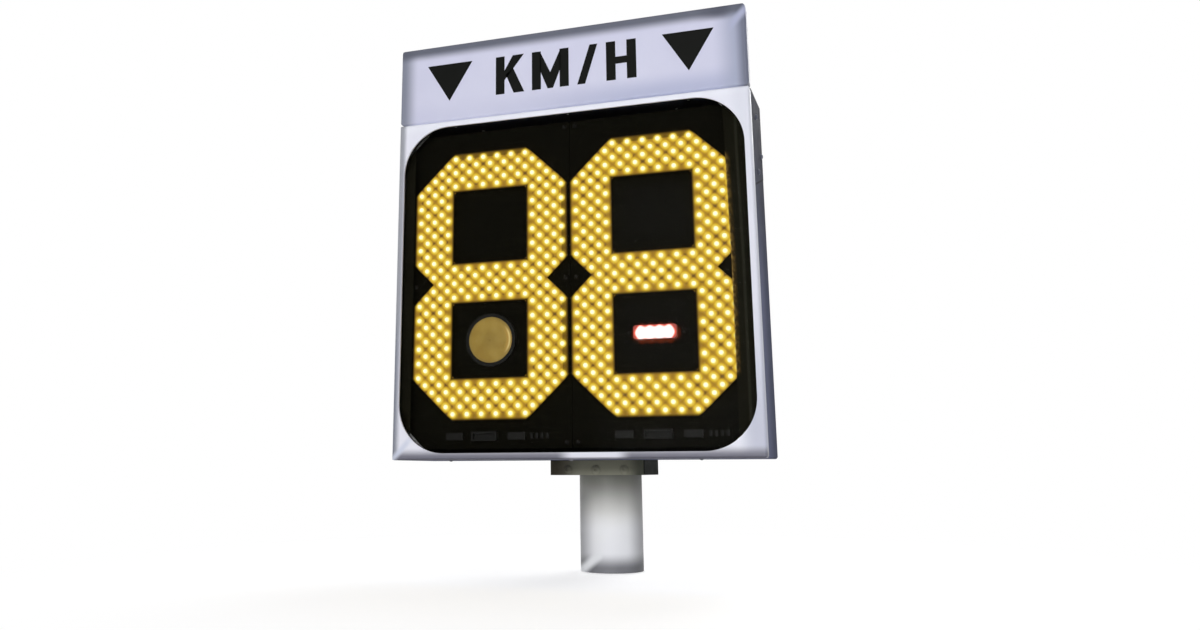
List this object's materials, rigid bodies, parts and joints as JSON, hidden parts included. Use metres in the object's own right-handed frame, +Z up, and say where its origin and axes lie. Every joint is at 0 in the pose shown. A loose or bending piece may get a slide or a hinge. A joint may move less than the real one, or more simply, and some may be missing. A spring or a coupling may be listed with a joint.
{
  "type": "radar speed display sign",
  "caption": "Pole-mounted radar speed sign: amber LED digits behind a smoked window in a folded cabinet, header plate, radar lens and red alert light.",
  "frame": {"origin": "centre of the pole's lower end, on the pole's axis", "axes": "+Z up along the pole, -Y the way the display faces, X across the display"},
  "size_m": [0.4204, 0.2281, 0.6235],
  "materials": {
    "face_paint": "satin powder coat",
    "header_paint": "satin powder coat",
    "cabinet_paint": "satin powder coat",
    "channel_paint": "matt dark olive coat",
    "pole_paint": "gloss white coat",
    "zinc_steel": "zinc plated",
    "black_steel": "black zinc",
    "stainless": "stainless",
    "aluminium": "cast and sheet",
    "seal_rubber": "foam rubber",
    "smoked_pane": "lightly smoked polycarbonate",
    "black_board": "black solder mask",
    "amber_led": "lit amber LED",
    "red_led": "lit red LED",
    "black_plastic": "moulded",
    "lens_plastic": "tan moulded lens",
    "green_board": "green solder mask",
    "reflector_plastic": "metallised cups",
    "red_lens": "clear red cover",
    "grey_plastic": "moulded"
  },
  "bodies": {
    "root": {"front_panel": "face_paint", "window_seal": "seal_rubber", "window_pane": "smoked_pane", "corner_clips": "stainless", "clip_nuts": "stainless", "panel_screws": "stainless", "header_plate": "header_paint", "header_brackets": "aluminium", "header_screws": "stainless", "cabinet_shell": "cabinet_paint", "rain_cap": "cabinet_paint", "cap_screws": "stainless", "bay_gasket": "seal_rubber", "bay_cover": "cabinet_paint", "bay_screws": "stainless", "cable_gland": "black_plastic", "wall_grommet": "seal_rubber", "chassis_pillars": "zinc_steel", "chassis_plate": "aluminium", "chassis_screws": "zinc_steel", "board_spacers": "grey_plastic", "board_screws": "black_steel", "led_board_left": "black_board", "led_board_right": "black_board", "leds_left": "amber_led", "leds_right": "amber_led", "board_connectors": "black_plastic", "radar_housing": "black_plastic", "radar_lens": "lens_plastic", "radar_board": "green_board", "radar_screws": "zinc_steel", "alert_board": "black_board", "alert_leds": "red_led", "alert_reflector": "reflector_plastic", "alert_lens": "red_lens", "alert_screws": "black_steel", "power_supply": "aluminium", "controller_board": "green_board", "stud_nuts": "zinc_steel", "din_rail": "zinc_steel", "terminals": "grey_plastic", "mounting_channel": "channel_paint", "channel_bolts": "zinc_steel", "rivet_nuts": "zinc_steel", "pole_saddles": "aluminium", "saddle_bolts": "black_steel", "clamp_straps": "zinc_steel", "clamp_bolts": "zinc_steel", "pole": "pole_paint", "pole_cap": "black_plastic"}
  },
  "joints": []
}
